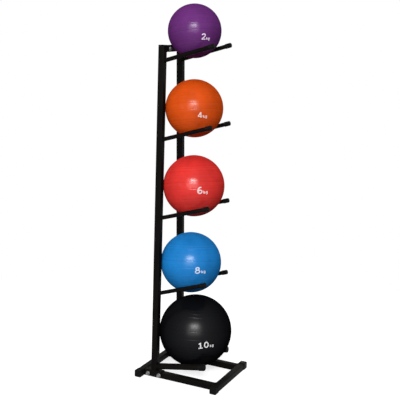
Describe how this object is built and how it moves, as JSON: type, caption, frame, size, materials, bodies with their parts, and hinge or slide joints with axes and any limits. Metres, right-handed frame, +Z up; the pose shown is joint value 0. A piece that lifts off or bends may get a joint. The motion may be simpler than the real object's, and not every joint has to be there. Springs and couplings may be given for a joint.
{
  "type": "medicine ball rack",
  "caption": "Free-standing black steel rack whose leaning uprights carry sloping pairs of arms, each pair holding a coloured rubber medicine ball that lifts off.",
  "frame": {"origin": "on the floor under the middle of the base, which is also the middle of the whole loaded rack in plan", "axes": "+Z up; the arms point forwards to -Y and the uprights stand towards +Y; +X across the rack, to the right of someone who faces the arms"},
  "size_m": [0.3, 0.366, 1.4781],
  "materials": {
    "powder_coat": "satin",
    "zinc": "satin",
    "cap_rubber": "matte",
    "ball_black": "satin",
    "ball_blue": "satin",
    "ball_red": "satin",
    "ball_orange": "satin",
    "ball_purple": "satin"
  },
  "bodies": {
    "rack": {"base_cross_tube_front": "powder_coat", "base_cross_tube_rear": "powder_coat", "base_side_tube_left": "powder_coat", "base_side_tube_right": "powder_coat", "foot_cap_front_left": "cap_rubber", "foot_cap_front_right": "cap_rubber", "foot_cap_rear_left": "cap_rubber", "foot_cap_rear_right": "cap_rubber", "saddle_left": "powder_coat", "saddle_right": "powder_coat", "saddle_bolt_front_left": "zinc", "saddle_bolt_front_right": "zinc", "saddle_bolt_rear_left": "zinc", "saddle_bolt_rear_right": "zinc", "saddle_nut_front_left": "zinc", "saddle_nut_front_right": "zinc", "saddle_nut_rear_left": "zinc", "saddle_nut_rear_right": "zinc", "upright_left": "powder_coat", "upright_right": "powder_coat", "upright_plug_left": "cap_rubber", "upright_plug_right": "cap_rubber", "crossbar": "powder_coat", "crossbar_stub_left": "powder_coat", "crossbar_stub_right": "powder_coat", "crossbar_bolt_left": "zinc", "crossbar_bolt_right": "zinc", "crossbar_nut_left": "zinc", "crossbar_nut_right": "zinc", "arm_10kg_left": "powder_coat", "arm_10kg_right": "powder_coat", "arm_8kg_left": "powder_coat", "arm_8kg_right": "powder_coat", "arm_6kg_left": "powder_coat", "arm_6kg_right": "powder_coat", "arm_4kg_left": "powder_coat", "arm_4kg_right": "powder_coat", "arm_2kg_left": "powder_coat", "arm_2kg_right": "powder_coat", "arm_cap_10kg_left": "cap_rubber", "arm_cap_10kg_right": "cap_rubber", "arm_cap_8kg_left": "cap_rubber", "arm_cap_8kg_right": "cap_rubber", "arm_cap_6kg_left": "cap_rubber", "arm_cap_6kg_right": "cap_rubber", "arm_cap_4kg_left": "cap_rubber", "arm_cap_4kg_right": "cap_rubber", "arm_cap_2kg_left": "cap_rubber", "arm_cap_2kg_right": "cap_rubber"},
    "loose_ball_10kg": {"ball_10kg": "ball_black", "ball_valve_10kg": "cap_rubber"},
    "loose_ball_8kg": {"ball_8kg": "ball_blue", "ball_valve_8kg": "cap_rubber"},
    "loose_ball_6kg": {"ball_6kg": "ball_red", "ball_valve_6kg": "cap_rubber"},
    "loose_ball_4kg": {"ball_4kg": "ball_orange", "ball_valve_4kg": "cap_rubber"},
    "loose_ball_2kg": {"ball_2kg": "ball_purple", "ball_valve_2kg": "cap_rubber"}
  },
  "joints": [
    {"name": "lift_off_10kg", "type": "slide", "parent": "rack", "child": "loose_ball_10kg", "axis": [0, -0.969, 0.247], "range_m": [0, 0.35]},
    {"name": "lift_off_8kg", "type": "slide", "parent": "rack", "child": "loose_ball_8kg", "axis": [0, -0.9259, 0.3778], "range_m": [0, 0.35]},
    {"name": "lift_off_6kg", "type": "slide", "parent": "rack", "child": "loose_ball_6kg", "axis": [0, -0.9367, 0.3502], "range_m": [0, 0.35]},
    {"name": "lift_off_4kg", "type": "slide", "parent": "rack", "child": "loose_ball_4kg", "axis": [0, -0.9367, 0.3502], "range_m": [0, 0.35]},
    {"name": "lift_off_2kg", "type": "slide", "parent": "rack", "child": "loose_ball_2kg", "axis": [0, -0.9367, 0.3502], "range_m": [0, 0.35]}
  ]
}
